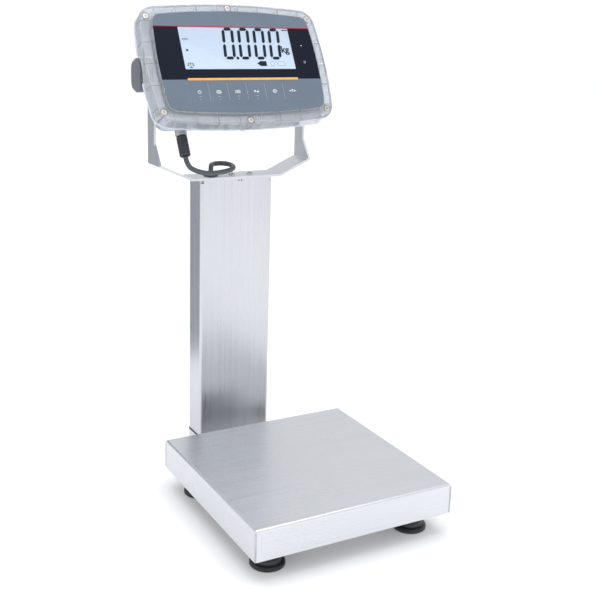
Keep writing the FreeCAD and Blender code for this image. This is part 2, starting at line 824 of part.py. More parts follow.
def key(place):
    """A key cap let into the overlay, with the stem that presses its switch."""
    cap = rounded_centre(key_w / 2, key_h / 2, overlay_n - key_cap_t, overlay_n, 1.8, place)
    stem_n = switch_n + key_travel
    stem = rod(key_stem_r, overlay_n - key_cap_t - stem_n, V(place[0], place[1], stem_n))
    return cap.fuse(stem)


def housing_inserts():
    return Part.Compound([ring(screw_insert_r, 2.0, seal_n - insert_n, V(u, v, insert_n))
                          for u, v in case_screws])


def housing_screws():
    screws = []
    head_n = rim_n - clear_wall
    for u, v in case_screws:
        head = turned([(0, 0), (screw_head_r, 0), (screw_head_r, 1.6), (3.4, 2.4), (1.5, 2.4), (1.5, 1.0), (0, 1.0)], V(u, v, head_n))
        screws.append(head.fuse(rod(2.0, head_n - insert_n - 1.0, V(u, v, insert_n + 1.0))))
    return Part.Compound(screws)


def pivot_inserts():
    """Brass threads for the knob studs, one in each side of the housing."""
    return Part.Compound([ring(5.5, knob_stud_r + slip, insert_l, V(u, 0, 0), V(1, 0, 0))
                          for u in (-rear_hu, rear_hu - insert_l)])


def pivot_washers():
    """Friction washers on both sides of each yoke arm."""
    washers = []
    for start, end in ((rear_hu, yoke_inner), (yoke_outer, knob_inner)):
        for u in (start, -end):
            washers.append(ring(11.0 if start == rear_hu else 9.0, knob_stud_r + slip, end - start,
                                V(u, 0, 0), V(1, 0, 0)))
    return Part.Compound(washers)


def clamp_knob(side):
    """A long-sided knob with its stud moulded in. It stands upright when clamped."""
    half = knob_wide / 2
    reach = knob_long / 2 - half
    x = V(side, 0, 0)
    base = V(side * knob_inner, 0, 0)
    ends = [rod(half, knob_t, base + V(0, 0, z), x) for z in (-reach, reach)]
    x0, x1 = sorted((side * knob_inner, side * (knob_inner + knob_t)))
    body = fuse_all([block(x0, x1, -half, half, -reach, reach)] + ends)
    outer = side * (knob_inner + knob_t)
    rim = [e for e in body.Edges if abs(e.CenterOfMass.x - outer) < 0.01]
    body = body.makeChamfer(3.5, rim)
    stud_in = rear_hu - insert_l + 0.5
    stud = rod(knob_stud_r, knob_inner + 8 - stud_in, V(side * stud_in, 0, 0), x)
    body = body.fuse(stud)
    body.translate(V(0, pivot_y, pivot_z))
    return body


def sensor_socket():
    down = V(0, -1, 0)
    body = rod(6.3, 12, V(plug_u, socket_v + 17, plug_n), down)
    flange = rod(9.0, 5, V(plug_u, -rear_hv, plug_n), down)
    nose = rod(plug_nut_r - 2.6, 7, V(plug_u, -rear_hv - 5, plug_n), down)
    return fuse_all([body, flange, nose])


def plug_nut():
    """A knurled coupling nut."""
    down = V(0, -1, 0)
    nut = ring(plug_nut_r, plug_nut_r - 2.3, plug_nut_l - 1, V(plug_u, socket_v - 0.4, plug_n), down)
    flutes = 18
    for i in range(flutes):
        a = 2 * math.pi * i / flutes
        centre = V(plug_u + plug_nut_r * math.cos(a), socket_v - 2, plug_n + plug_nut_r * math.sin(a))
        nut = nut.cut(rod(0.5, plug_nut_l - 4, centre, down))
    return nut


def plug_body():
    """The moulded plug with grip bands, and a short collar that the nut turns on."""
    down = V(0, -1, 0)
    start = socket_v - plug_nut_l
    body = rod(plug_body_r, plug_body_l, V(plug_u, start, plug_n), down)
    ends = [e for e in body.Edges if e.Length > 1 and e.Curve.TypeId == "Part::GeomCircle"]
    body = body.makeFillet(1.6, ends)
    for i in range(5):
        groove_v = start - 5 - 4.2 * i
        body = body.cut(ring(plug_body_r + 1, plug_body_r - 0.6, 1.4, V(plug_u, groove_v, plug_n), down))
    collar = rod(plug_nut_r - 2.6, 4, V(plug_u, start + 2.5, plug_n), down)
    return body.fuse(collar)


# ---------------------------------------------------------------- cables
def sensor_cable_route():
    """From the plug, down towards the yoke, round a loop and into the grommet."""
    plug_end = face_point(plug_u, plug_end_v, plug_n)
    heading = face_point(plug_u, plug_end_v - 1, plug_n) - plug_end

    def over_yoke(x, y, z):
        return V(x, column_front + y, yoke_top + z)

    return [
        plug_end,
        plug_end + heading * 13,
        over_yoke(0.86 * plug_u, -19, 13),
        over_yoke(0.61 * plug_u, -12, 8),
        over_yoke(-27, -5, 7.5),
        over_yoke(-9, 1, 9),
        over_yoke(0, 10, 11),
        over_yoke(0, 25, 13),
        over_yoke(-10, 34, 13.5),
        over_yoke(-23, 31, 13),
        V(grommet_x, row_y, yoke_top + 12),
        V(grommet_x, row_y, yoke_top - yoke_t),
    ]


def load_cell_cable_route():
    under = arm_bottom - 5.5
    return [
        V(cell_cable_x, cell_length / 2, cell_cable_z),
        V(cell_cable_x, 111, cell_cable_z),
        V(cell_cable_x, 111, under),
        V(grommet_x, row_y, under),
        V(grommet_x, row_y, yoke_top - 3),
    ]


# ---------------------------------------------------------------- the whole scale
def standing_pieces():
    """Pieces laid out in the scale's own directions."""
    pieces = {
        "weighing_pan": weighing_pan(),
        "base_rails": base_rails(),
        "cross_beams": cross_beams(),
        "column_arm": column_arm(),
        "cell_lower_spacer": spacer(1, arm_top, cell_z),
        "load_cell": load_cell(),
        "cell_upper_spacer": spacer(-1, cell_top, spider_z),
        "cell_bolts_lower": cell_bolts_lower(),
        "cell_bolts_upper": cell_bolts_upper(),
        "spider_plate": spider_plate(),
        "spider_bars": spider_bars(),
        "pan_pads": pan_pads(),
        "overload_stops": overload_stops(),
        "level_vial": level_vial(),
        "foot_nuts": foot_nuts(),
        "column_spigot": column_spigot(),
        "column_gasket": column_gasket(),
        "column_tube": column_tube(),
        "column_screws": column_screws(),
        "column_cap": column_cap(),
        "indicator_bracket": indicator_bracket(),
        "bracket_screws": bracket_screws(),
        "cable_grommet": cable_grommet(),
        "load_cell_cable": cord_tube(load_cell_cable_route(), cable_d, "load_cell_cable", (12, 12, 16)),
        "sensor_cable": cord_tube(sensor_cable_route(), cable_d, "sensor_cable"),
        "knob_left": clamp_knob(-1),
        "knob_right": clamp_knob(1),
    }
    for corner, place in foot_places().items():
        pieces["foot_pad_" + corner] = foot_pad(place)
        pieces["foot_stud_" + corner] = foot_stud(place)
    return pieces


def face_pieces():
    """Pieces of the indicator, laid out along its face about the pivot."""
    pieces = {
        "rear_housing": rear_housing(),
        "housing_gasket": housing_gasket(),
        "front_housing": front_housing(),
        "housing_screws": housing_screws(),
        "housing_inserts": housing_inserts(),
        "overlay": overlay(),
        "display_window": pane(window_v, plateau_n - clear_wall),
        "status_light_bar": pane(light_v, plateau_n - clear_wall - 5),
        "lcd_module": lcd_module(),
        "keypad_board": keypad_board(),
        "main_board": main_board(),
        "battery_pack": battery_pack(),
        "blanking_plugs": blanking_plugs(),
        "pivot_inserts": pivot_inserts(),
        "pivot_washers": pivot_washers(),
        "sensor_socket": sensor_socket(),
        "plug_nut": plug_nut(),
        "plug_body": plug_body(),
    }
    for number, place in enumerate(key_places(), start=1):
        pieces["key_%d" % number] = key(place)
    return pieces


def all_pieces():
    pieces = standing_pieces()
    for name, shape in face_pieces().items():
        shape.Placement = face_place.multiply(shape.Placement)
        pieces[name] = shape
    for shape in pieces.values():
        shape.translate(to_origin)
    return pieces


def main():
    os.makedirs("parts", exist_ok=True)
    for name, shape in all_pieces().items():
        if not shape.isValid():
            print("not valid:", name)
        shape.exportStep("parts/%s.step" % name)


if __name__ == "__main__":
    main()
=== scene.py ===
"""Bench scale: the looks of every piece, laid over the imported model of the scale."""
import json
import math

import bmesh
import bpy
from mathutils import Matrix, Vector


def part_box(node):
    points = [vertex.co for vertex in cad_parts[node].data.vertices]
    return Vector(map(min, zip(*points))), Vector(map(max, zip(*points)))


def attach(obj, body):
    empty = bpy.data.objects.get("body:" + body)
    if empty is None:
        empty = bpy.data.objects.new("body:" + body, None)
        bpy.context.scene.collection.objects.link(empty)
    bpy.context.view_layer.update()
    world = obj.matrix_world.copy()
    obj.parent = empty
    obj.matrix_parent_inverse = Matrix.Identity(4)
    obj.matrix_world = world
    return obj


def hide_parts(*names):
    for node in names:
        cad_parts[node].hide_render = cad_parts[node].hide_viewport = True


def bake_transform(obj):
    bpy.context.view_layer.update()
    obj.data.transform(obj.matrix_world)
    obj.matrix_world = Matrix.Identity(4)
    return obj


bl_info = {
    "name": "Bench scale",
    "version": (1, 0, 0),
    "blender": (4, 5, 0),
    "location": "View3D > Sidebar > Scale",
    "description": "Finishes a bench scale: pan, column, yoke, indicator, display, keys and cable",
    "category": "Object",
}

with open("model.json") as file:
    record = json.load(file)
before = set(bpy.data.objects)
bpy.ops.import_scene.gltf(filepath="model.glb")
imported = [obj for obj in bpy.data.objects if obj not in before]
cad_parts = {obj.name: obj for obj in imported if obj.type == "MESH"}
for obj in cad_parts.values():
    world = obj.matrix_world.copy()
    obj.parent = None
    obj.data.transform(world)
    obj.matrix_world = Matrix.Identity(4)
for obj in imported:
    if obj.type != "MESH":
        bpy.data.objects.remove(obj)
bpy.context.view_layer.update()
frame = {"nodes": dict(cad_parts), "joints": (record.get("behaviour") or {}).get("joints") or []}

MM = 0.001
NODES = frame["nodes"]
JOINTS = {joint["name"]: joint for joint in frame["joints"]}

# The indicator's face: u to the right, v up the face, n out of it, from the pivot line
PIVOT = Vector(JOINTS["indicator_tilt"]["pos_m"])
FACE_OUT = -Vector(JOINTS["key_1_press"]["axis"])
FACE_RIGHT = Vector((1.0, 0.0, 0.0))
FACE_UP = FACE_OUT.cross(FACE_RIGHT)
FACE_TURN = math.atan2(FACE_UP.z, FACE_UP.y)
FACE = Matrix.Translation(PIVOT) @ Matrix.Rotation(FACE_TURN, 4, "X")


def face_box(node):
    """A node's lowest and highest corner along the face."""
    back = FACE.inverted()
    points = [back @ vertex.co for vertex in NODES[node].data.vertices]
    low = Vector([min(p[i] for p in points) for i in range(3)])
    high = Vector([max(p[i] for p in points) for i in range(3)])
    return low, high


PAN_LOW, PAN_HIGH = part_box("weighing_pan")
PAN_TOP = Vector(((PAN_LOW.x + PAN_HIGH.x) / 2, (PAN_LOW.y + PAN_HIGH.y) / 2, PAN_HIGH.z))
WINDOW_LOW, WINDOW_HIGH = face_box("display_window")
LIGHT_LOW = face_box("status_light_bar")[0]
OVERLAY_HIGH = face_box("overlay")[1]
KEY_BOXES = [face_box("key_%d" % number) for number in range(1, 7)]


# ------------------------------------------------------------------ settings
class ScaleColours(bpy.types.PropertyGroup):
    pan_steel: bpy.props.FloatVectorProperty(
        name="Pan steel", description="Colour of the weighing pan", subtype="COLOR",
        default=(0.665, 0.678, 0.706), min=0, max=1)
    column_steel: bpy.props.FloatVectorProperty(
        name="Column steel", description="Colour of the column and yoke", subtype="COLOR",
        default=(0.59, 0.602, 0.628), min=0, max=1)
    film_grey: bpy.props.FloatVectorProperty(
        name="Film grey", description="Blue grey of the printed film", subtype="COLOR",
        default=(0.140, 0.175, 0.222), min=0, max=1)
    film_black: bpy.props.FloatVectorProperty(
        name="Film black", description="Dark band round the display", subtype="COLOR",
        default=(0.007, 0.010, 0.020), min=0, max=1)
    film_red: bpy.props.FloatVectorProperty(
        name="Film red", description="Thin line over the dark band", subtype="COLOR",
        default=(0.50, 0.03, 0.07), min=0, max=1)
    display_lit: bpy.props.FloatVectorProperty(
        name="Display", description="Backlight of the display", subtype="COLOR",
        default=(0.64, 0.76, 0.93), min=0, max=1)
    light_bar: bpy.props.FloatVectorProperty(
        name="Light bar", description="Lit bar under the display", subtype="COLOR",
        default=(1.0, 0.36, 0.05), min=0, max=1)
    knob_grey: bpy.props.FloatVectorProperty(
        name="Knob grey", description="Colour of the clamping knobs", subtype="COLOR",
        default=(0.13, 0.135, 0.16), min=0, max=1)
    case_clear: bpy.props.FloatVectorProperty(
        name="Clear case", description="Tint of the clear front", subtype="COLOR",
        default=(0.92, 0.95, 1.0), min=0, max=1)


class ScaleSizes(bpy.types.PropertyGroup):
    digit_width: bpy.props.FloatProperty(
        name="Digit width", description="Width of one digit on the display",
        default=16.3 * MM, unit="LENGTH")
    digit_height: bpy.props.FloatProperty(
        name="Digit height", description="Height of one digit on the display",
        default=43.8 * MM, unit="LENGTH")
    digit_pitch: bpy.props.FloatProperty(
        name="Digit pitch", description="Step from one digit to the next",
        default=21.7 * MM, unit="LENGTH")
    stroke: bpy.props.FloatProperty(
        name="Stroke", description="Width of a display stroke", default=4.1 * MM, unit="LENGTH")
    cable_diameter: bpy.props.FloatProperty(
        name="Cable diameter", description="Outside of the sensor cable", default=6.4 * MM, unit="LENGTH")


# ------------------------------------------------------------------ shading
def set_ranges(node, source, target):
    """The two ranges of a Map Range node."""
    for key, number in zip(("From Min", "From Max", "To Min", "To Max"), (*source, *target)):
        node.inputs[key].default_value = number


class Shader:
    """A Principled material with Object coordinates, and short calls for its nodes."""

    def __init__(self, name, colour=(0.8, 0.8, 0.8), rough=0.5, metal=0.0, **fixed):
        self.material = bpy.data.materials.new(name)
        self.material.use_nodes = True
        self.tree = self.material.node_tree
        self.bsdf = self.tree.nodes["Principled BSDF"]
        self.set(self.bsdf, "Base Color", (*colour, 1.0))
        self.set(self.bsdf, "Roughness", rough)
        self.set(self.bsdf, "Metallic", metal)
        for key, value in fixed.items():
            self.set(self.bsdf, key.replace("_", " "), value)
        self.material.diffuse_color = (*colour, 1.0)
        self.where = self.add("ShaderNodeTexCoord").outputs["Object"]

    def set(self, node, socket, value):
        node.inputs[socket].default_value = value

    def add(self, kind, links=(), **values):
        node = self.tree.nodes.new(kind)
        for key, value in values.items():
            if key in node.inputs:
                node.inputs[key].default_value = value
            else:
                setattr(node, key, value)
        for socket, source in dict(links).items():
            self.tree.links.new(source, node.inputs[socket])
        return node

    def link(self, source, socket):
        self.tree.links.new(source, self.bsdf.inputs[socket])

    def place(self, scale=(1, 1, 1), location=(0, 0, 0), turn=(0, 0, 0), kind="POINT"):
        node = self.add("ShaderNodeMapping", {"Vector": self.where})
        node.vector_type = kind
        node.inputs["Scale"].default_value = scale
        node.inputs["Location"].default_value = location
        node.inputs["Rotation"].default_value = turn
        return node.outputs["Vector"]

    def noise(self, scale, detail=3.0, vector=None):
        node = self.add("ShaderNodeTexNoise", {"Vector": vector or self.where},
                        Scale=scale, Detail=detail, Roughness=0.55)
        return node.outputs["Fac"]

    def spread(self, value, low, high, from_low=0.3, from_high=0.7):
        node = self.add("ShaderNodeMapRange", {"Value": value})
        set_ranges(node, (from_low, from_high), (low, high))
        return node.outputs["Result"]

    def maths(self, operation, a, b=None, clamp=False):
        node = self.add("ShaderNodeMath", operation=operation, use_clamp=clamp)
        for socket, value in zip(node.inputs, (a, b)):
            if value is None:
                continue
            if isinstance(value, (int, float)):
                socket.default_value = value
            else:
                self.tree.links.new(value, socket)
        return node.outputs[0]

    def mix(self, share, first, second, blend="MIX"):
        node = self.add("ShaderNodeMix", data_type="RGBA", blend_type=blend)
        for socket, value in ((node.inputs[0], share), (node.inputs[6], first), (node.inputs[7], second)):
            if isinstance(value, (int, float)):
                socket.default_value = value
            elif isinstance(value, tuple):
                socket.default_value = (*value[:3], 1.0)
            else:
                self.tree.links.new(value, socket)
        return node.outputs[2]

    def bump(self, height, strength, distance):
        node = self.add("ShaderNodeBump", {"Height": height}, Strength=strength, Distance=distance)
        self.link(node.outputs["Normal"], "Normal")


def brushed_steel(name, colour, grain, rough=0.30, depth=0.16, broad_share=0.35, contrast=0.10):
    """Stainless sheet with a fine grain along one axis, given as a letter."""
    steel = Shader(name, colour, rough, 1.0)
    across = {"X": (4, 900, 900), "Y": (900, 4, 900), "Z": (900, 900, 4)}[grain]
    lines = steel.noise(1.0, 2.0, steel.place(across))
    broad = steel.noise(1.0, 2.0, steel.place(tuple(v / 9 for v in across)))
    cloud = steel.noise(9.0, 3.0)
    grain_mix = steel.maths("ADD", steel.maths("MULTIPLY", lines, 1 - broad_share),
                            steel.maths("MULTIPLY", broad, broad_share))
    rough_value = steel.maths("ADD", steel.spread(grain_mix, rough - 0.05, rough + 0.08),
                              steel.spread(cloud, -0.02, 0.03), clamp=True)
    steel.link(rough_value, "Roughness")
    dark = tuple(c * (1 - contrast) for c in colour)
    share = steel.spread(grain_mix, 0.0, 1.0, 0.35, 0.65)
    steel.link(steel.mix(share, dark, tuple(colour)), "Base Color")
    steel.bump(grain_mix, depth, 0.00006)
    return steel.material


def plated(name, colour, rough=0.22):
    metal = Shader(name, colour, rough, 1.0)
    metal.link(metal.spread(metal.noise(160.0), rough - 0.06, rough + 0.12), "Roughness")
    shade = tuple(c * 0.78 for c in colour)
    metal.link(metal.mix(metal.spread(metal.noise(60.0), 0, 1), shade, tuple(colour)), "Base Color")
    metal.bump(metal.noise(900.0), 0.10, 0.00005)
    return metal.material


def moulded(name, colour, rough=0.5, grain=1400.0, depth=0.25, tint=0.06, **fixed):
    """Moulded plastic or rubber with a fine spark-eroded grain."""
    plastic = Shader(name, colour, rough, 0.0, **fixed)
    light = tuple(min(1.0, c * (1 + tint) + tint * 0.02) for c in colour)
    dark = tuple(c * (1 - tint) for c in colour)
    cloud = plastic.noise(26.0, 4.0)
    plastic.link(plastic.mix(plastic.spread(cloud, 0, 1), dark, light), "Base Color")
    plastic.link(plastic.spread(plastic.noise(grain / 4), rough - 0.06, rough + 0.08), "Roughness")
    plastic.bump(plastic.noise(grain, 2.0), depth, 0.00008)
    return plastic.material


def powder_coat(name, colour):
    coat = Shader(name, colour, 0.48, 0.0)
    dark = tuple(c * 0.86 for c in colour)
    coat.link(coat.mix(coat.spread(coat.noise(14.0), 0, 1), dark, tuple(colour)), "Base Color")
    coat.bump(coat.noise(620.0, 2.0), 0.35, 0.00012)
    return coat.material


def clear_plastic(name, colour, rough=0.07, ior=1.585, waves=0.05, cloud=0.05, clearness=1.0):
    """Clear plastic with a soft, slightly uneven surface."""
    clear = Shader(name, colour, rough, 0.0, Transmission_Weight=clearness, IOR=ior)
    clear.link(clear.spread(clear.noise(40.0), max(rough - cloud, 0.0), rough + cloud), "Roughness")
    if waves:
        clear.bump(clear.noise(55.0, 2.0), waves, 0.0006)
    return clear.material


def on_face(shader):
    """Coordinates along the indicator's face, split into u and v."""
    placed = shader.place(location=tuple(PIVOT), turn=(FACE_TURN, 0, 0), kind="TEXTURE")
    parts = shader.add("ShaderNodeSeparateXYZ", {"Vector": placed})
    return parts.outputs["X"], parts.outputs["Y"]


def between(shader, value, low, high):
    above = shader.maths("GREATER_THAN", value, low)
    below = shader.maths("LESS_THAN", value, high)
    return shader.maths("MULTIPLY", above, below)


BAND_LOW = LIGHT_LOW.y + 0.9 * MM
BAND_HIGH = WINDOW_HIGH.y + 0.5 * MM
RED_LINE = 1.1 * MM


def printed_film(name, colours):
    """Printed film: blue grey, a dark band round the display and a thin red line."""
    film = Shader(name, colours.film_grey, 0.45, 0.0, Specular_IOR_Level=0.08)
    v = on_face(film)[1]
    band = between(film, v, BAND_LOW, BAND_HIGH)
    line = between(film, v, BAND_HIGH, BAND_HIGH + RED_LINE)
    cloud = film.spread(film.noise(18.0), 0.95, 1.05)
    grey = film.mix(1.0, tuple(colours.film_grey), cloud, "MULTIPLY")
    inked = film.mix(band, grey, tuple(colours.film_black))
    inked = film.mix(line, inked, tuple(colours.film_red))
    film.link(inked, "Base Color")
    film.link(film.spread(film.noise(700.0, 2.0), 0.40, 0.54), "Roughness")
    film.bump(film.noise(1600.0, 2.0), 0.12, 0.00005)
    return film.material


def lit_display(name, colours):
    """Backlit panel, a little brighter towards the lamps at its lower edge."""
    panel = Shader(name, (0.10, 0.12, 0.14), 0.5, 0.0, Emission_Strength=0.90, Specular_IOR_Level=0.1)
    v = on_face(panel)[1]
    glow = panel.spread(v, 1.06, 0.94, WINDOW_LOW.y, WINDOW_HIGH.y)
    speck = panel.spread(panel.noise(420.0, 2.0), 0.97, 1.03)
    lit = panel.mix(1.0, tuple(colours.display_lit), panel.maths("MULTIPLY", glow, speck), "MULTIPLY")
    panel.link(lit, "Emission Color")
    return panel.material


def lit_bar(name, colours):
    """Diffuser bar with soft hot spots over its lamps."""
    bar = Shader(name, (0.20, 0.10, 0.03), 0.4, 0.0, Emission_Strength=1.0, Specular_IOR_Level=0.2)
    u = on_face(bar)[0]
    waves = bar.maths("COSINE", bar.maths("MULTIPLY", u, 2 * math.pi / (16 * MM)))
    share = bar.spread(waves, 0.15, 0.55, -1.0, 1.0)
    hot = (1.0, 0.50, 0.12)
    glow = bar.mix(share, tuple(colours.light_bar), hot)
    bar.link(glow, "Emission Color")
    return bar.material


def circuit_board(name):
    """Green solder mask with fine copper lines."""
    board = Shader(name, (0.03, 0.16, 0.07), 0.32, 0.0)
    cells = board.add("ShaderNodeTexVoronoi", {"Vector": board.where}, Scale=320.0)
    cells.distance = "MANHATTAN"
    cells.feature = "F1"
    lines = board.spread(cells.outputs["Distance"], 0.0, 1.0, 0.35, 0.42)
    board.link(board.mix(lines, (0.03, 0.16, 0.07), (0.06, 0.26, 0.11)), "Base Color")
    board.bump(lines, 0.2, 0.00004)
    return board.material


def cable_jacket(name):
    jacket = Shader(name, (0.060, 0.072, 0.086), 0.38, 0.0)
    jacket.link(jacket.spread(jacket.noise(300.0), 0.32, 0.50), "Roughness")
    jacket.bump(jacket.noise(1100.0), 0.20, 0.00006)
    return jacket.material


def paint(material, *nodes):
    """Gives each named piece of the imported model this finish."""
    for node in nodes:
        mesh = NODES[node].data
        mesh.materials.clear()
        mesh.materials.append(material)


# ------------------------------------------------------------------ modelling by hand
def clear_selection():
    if bpy.context.object and bpy.context.object.mode != "OBJECT":
        bpy.ops.object.mode_set(mode="OBJECT")
    bpy.ops.object.select_all(action="DESELECT")


def take(piece):
    clear_selection()
    piece.select_set(True)
    bpy.context.view_layer.objects.active = piece
    return piece


def apply_modifiers(piece):
    take(piece)
    for modifier in list(piece.modifiers):
        bpy.ops.object.modifier_apply(modifier=modifier.name)


def freeze(piece):
    take(piece)
    bpy.ops.object.transform_apply(location=True, rotation=True, scale=True)


def new_block(name, low, high):
    """A block from its low and high corners."""
    clear_selection()
    low, high = Vector(low), Vector(high)
    bpy.ops.mesh.primitive_cube_add(size=1, location=(low + high) / 2)
    piece = bpy.context.object
    piece.name = name
    piece.scale = high - low
    freeze(piece)
    return piece


def new_disc(name, centre, radius, thick, edge, sides):
    """A short round piece with bevelled edges that rises from centre."""
    clear_selection()
    place = Vector(centre) + Vector((0, 0, thick / 2))
    bpy.ops.mesh.primitive_cylinder_add(vertices=sides, radius=radius, depth=thick, location=place)
    piece = bpy.context.object
    piece.name = name
    freeze(piece)
    bevel = piece.modifiers.new("edges", "BEVEL")
    bevel.width = edge
    bevel.segments = 2
    bevel.limit_method = "ANGLE"
    apply_modifiers(piece)
    return piece


def join(name, pieces):
    clear_selection()
    for piece in pieces:
        piece.select_set(True)
    bpy.context.view_layer.objects.active = pieces[0]
    if len(pieces) > 1:
        bpy.ops.object.join()
    piece = bpy.context.object
    piece.name = name
    return piece


def move(piece, matrix):
    piece.data.transform(matrix)
    return piece


def finish(piece, body, material, angle=35.0):
    """Gives a piece its smooth shading, material, body and material slot."""
    take(piece)
    bpy.ops.object.shade_smooth_by_angle(angle=math.radians(angle))
    piece.data.materials.clear()
    piece.data.materials.append(material)
    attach(piece, body)
    return piece


def lay_on_face(piece):
    return move(piece, FACE)


def flat_piece(name, outline, low, high):
    """A thin plate with the given outline, from height low to high."""
    clear_selection()
    bpy.ops.mesh.primitive_circle_add(vertices=len(outline), radius=1, fill_type="NGON")
    piece = bpy.context.object
    piece.name = name
    for vertex, (x, y) in zip(piece.data.vertices, outline):
        vertex.co = (x, y, low)
    bpy.ops.object.mode_set(mode="EDIT")
    bpy.ops.mesh.select_all(action="SELECT")
    bpy.ops.mesh.extrude_region_move(TRANSFORM_OT_translate={"value": (0, 0, high - low)})
    bpy.ops.mesh.select_all(action="SELECT")
    bpy.ops.mesh.normals_make_consistent(inside=False)
    bpy.ops.object.mode_set(mode="OBJECT")
    return piece


# ------------------------------------------------------------------ pieces
CORNERS = ("fl", "fr", "rl", "rr")
DIGITS_LEFT = -22.0 * MM

# How far print on the film goes into it and stands out of it
PRINT_SINK, PRINT_RISE, BOLD_RISE, LAMP_RISE = 0.05 * MM, 0.05 * MM, 0.07 * MM, 0.06 * MM
# Corner welds: radius, rounding of the ends, distance inside the corner, length left free
WELD_R, WELD_EDGE, WELD_INSET, WELD_FREE = 1.15 * MM, 0.35 * MM, 0.75 * MM, 3.6 * MM


def print_on_display(name, outlines, low, high):
    """Dark display strokes: each outline is a thin plate, all joined."""
    plates = [flat_piece("%s_part" % name, outline, low, high) for outline in outlines]
    return join(name, plates)


def stroke_outline(x0, y0, x1, y1, width):
    """A bar between two points with pointed ends."""
    along = Vector((x1 - x0, y1 - y0)).normalized()
    side = Vector((-along.y, along.x)) * width / 2
    tip = along * width / 2
    a, b = Vector((x0, y0)), Vector((x1, y1))
    return [tuple(p) for p in (a, a + tip + side, b - tip + side, b, b - tip - side, a + tip - side)]


def slanted(outline, base, slope):
    return [(x + (y - base) * slope, y) for x, y in outline]


def digit_zero(left, base, width, height, stroke, slope):
    """The six strokes of a nought, slanted about its base line."""
    gap = stroke * 0.16
    half = stroke / 2
    x0, x1 = left + half, left + width - half
    y0, y1, y2 = base + half, base + height / 2, base + height - half
    strokes = [(x0 + gap, y0, x1 - gap, y0), (x0 + gap, y2, x1 - gap, y2),
               (x0, y0 + gap, x0, y1 - gap), (x1, y0 + gap, x1, y1 - gap),
               (x0, y1 + gap, x0, y2 - gap), (x1, y1 + gap, x1, y2 - gap)]
    return [slanted(stroke_outline(*s, stroke), base, slope) for s in strokes]


def round_outline(x, y, radius, sides=20):
    turns = [2 * math.pi * i / sides for i in range(sides)]
    return [(x + radius * math.cos(a), y + radius * math.sin(a)) for a in turns]


def bar_outline(x0, y0, x1, y1, width):
    """A square-ended stroke between two points."""
    along = Vector((x1 - x0, y1 - y0)).normalized()
    side = Vector((-along.y, along.x)) * width / 2
    a, b = Vector((x0, y0)), Vector((x1, y1))
    return [tuple(p) for p in (a + side, a - side, b - side, b + side)]


def arc_outline(x, y, outer, inner, start, sweep, steps=14):
    """Part of a ring, as one closed outline."""
    turns = [start + sweep * i / steps for i in range(steps + 1)]
    out = [(x + outer * math.cos(a), y + outer * math.sin(a)) for a in turns]
    return out + [(x + inner * math.cos(a), y + inner * math.sin(a)) for a in reversed(turns)]


def ring_outlines(x, y, outer, inner):
    return [arc_outline(x, y, outer, inner, start, math.pi) for start in (0.0, math.pi)]


def shifted(outline, dx, dy):
    return [(x + dx, y + dy) for x, y in outline]


def scaled(outlines):
    """Outlines drawn in millimetres, in metres."""
    return [[(x * MM, y * MM) for x, y in outline] for outline in outlines]


def key_seal(low, high, base, top):
    """Four thin strips that fill the slot round a key."""
    near, far = 0.02 * MM, 0.23 * MM
    x0, x1, y0, y1 = low.x, high.x, low.y, high.y
    return [new_block("strip", (x0 - far, y0 - far, base), (x0 - near, y1 + far, top)),
            new_block("strip", (x1 + near, y0 - far, base), (x1 + far, y1 + far, top)),
            new_block("strip", (x0 - near, y0 - far, base), (x1 + near, y0 - near, top)),
            new_block("strip", (x0 - near, y1 + near, base), (x1 + near, y1 + far, top))]


def letter_mesh(name, text, size, x, y, low, high):
    """Generic unit letters, from the built-in typeface."""
    clear_selection()
    bpy.ops.object.text_add(location=(0, 0, 0))
    piece = bpy.context.object
    piece.data.body = text
    piece.data.size = size
    piece.data.extrude = (high - low) / 2
    piece.data.offset = size * 0.028
    bpy.ops.object.convert(target="MESH")
    piece = bpy.context.object
    piece.name = name
    piece.data.transform(Matrix.Translation((x, y, (low + high) / 2)))
    return piece


# Marks in millimetres about their middles: switch, print, menu, up and down, target, tare
KEY_MARKS = [scaled(marks) for marks in (
    [arc_outline(0, 0, 2.3, 1.75, math.radians(125), math.radians(290), 20),
     bar_outline(0, 0.4, 0, 2.7, 0.6)],
    [bar_outline(-3.2, 0.9, 3.2, 0.9, 0.5), bar_outline(-3.2, -1.4, -1.9, -1.4, 0.5),
     bar_outline(1.9, -1.4, 3.2, -1.4, 0.5), bar_outline(-3.0, -1.6, -3.0, 1.1, 0.5),
     bar_outline(3.0, -1.6, 3.0, 1.1, 0.5), bar_outline(-1.9, 1.9, 1.9, 1.9, 0.5),
     bar_outline(-1.7, 1.1, -1.7, 2.1, 0.5), bar_outline(1.7, 1.1, 1.7, 2.1, 0.5),
     bar_outline(-1.7, -2.2, 1.7, -2.2, 0.5), bar_outline(-1.7, -0.6, 1.7, -0.6, 0.5),
     bar_outline(-1.7, -2.4, -1.7, -0.5, 0.5), bar_outline(1.7, -2.4, 1.7, -0.5, 0.5)],
    [bar_outline(-2.2, y, 3.6, y, 0.55) for y in (-1.6, 0, 1.6)] +
    [round_outline(-3.4, y, 0.42, 10) for y in (-1.6, 0, 1.6)],
    [[(-3.6, -0.5), (-1.9, 2.0), (-0.2, -0.5)], [(0.2, 0.5), (1.9, -2.0), (3.6, 0.5)]],
    ring_outlines(0, 0, 2.5, 2.0) + [round_outline(0, 0, 0.8, 14), bar_outline(-3.4, 0, -1.7, 0, 0.45),
                                     bar_outline(1.7, 0, 3.4, 0, 0.45)],
    [bar_outline(-5.2, 0, -3.2, 0, 0.6), [(-3.2, 1.1), (-1.4, 0), (-3.2, -1.1)],
     bar_outline(3.2, 0, 5.2, 0, 0.6), [(3.2, -1.1), (1.4, 0), (3.2, 1.1)],
     bar_outline(0, -1.7, 0, 1.6, 0.7), bar_outline(-1.2, 1.7, 1.2, 1.7, 0.6)],
)]
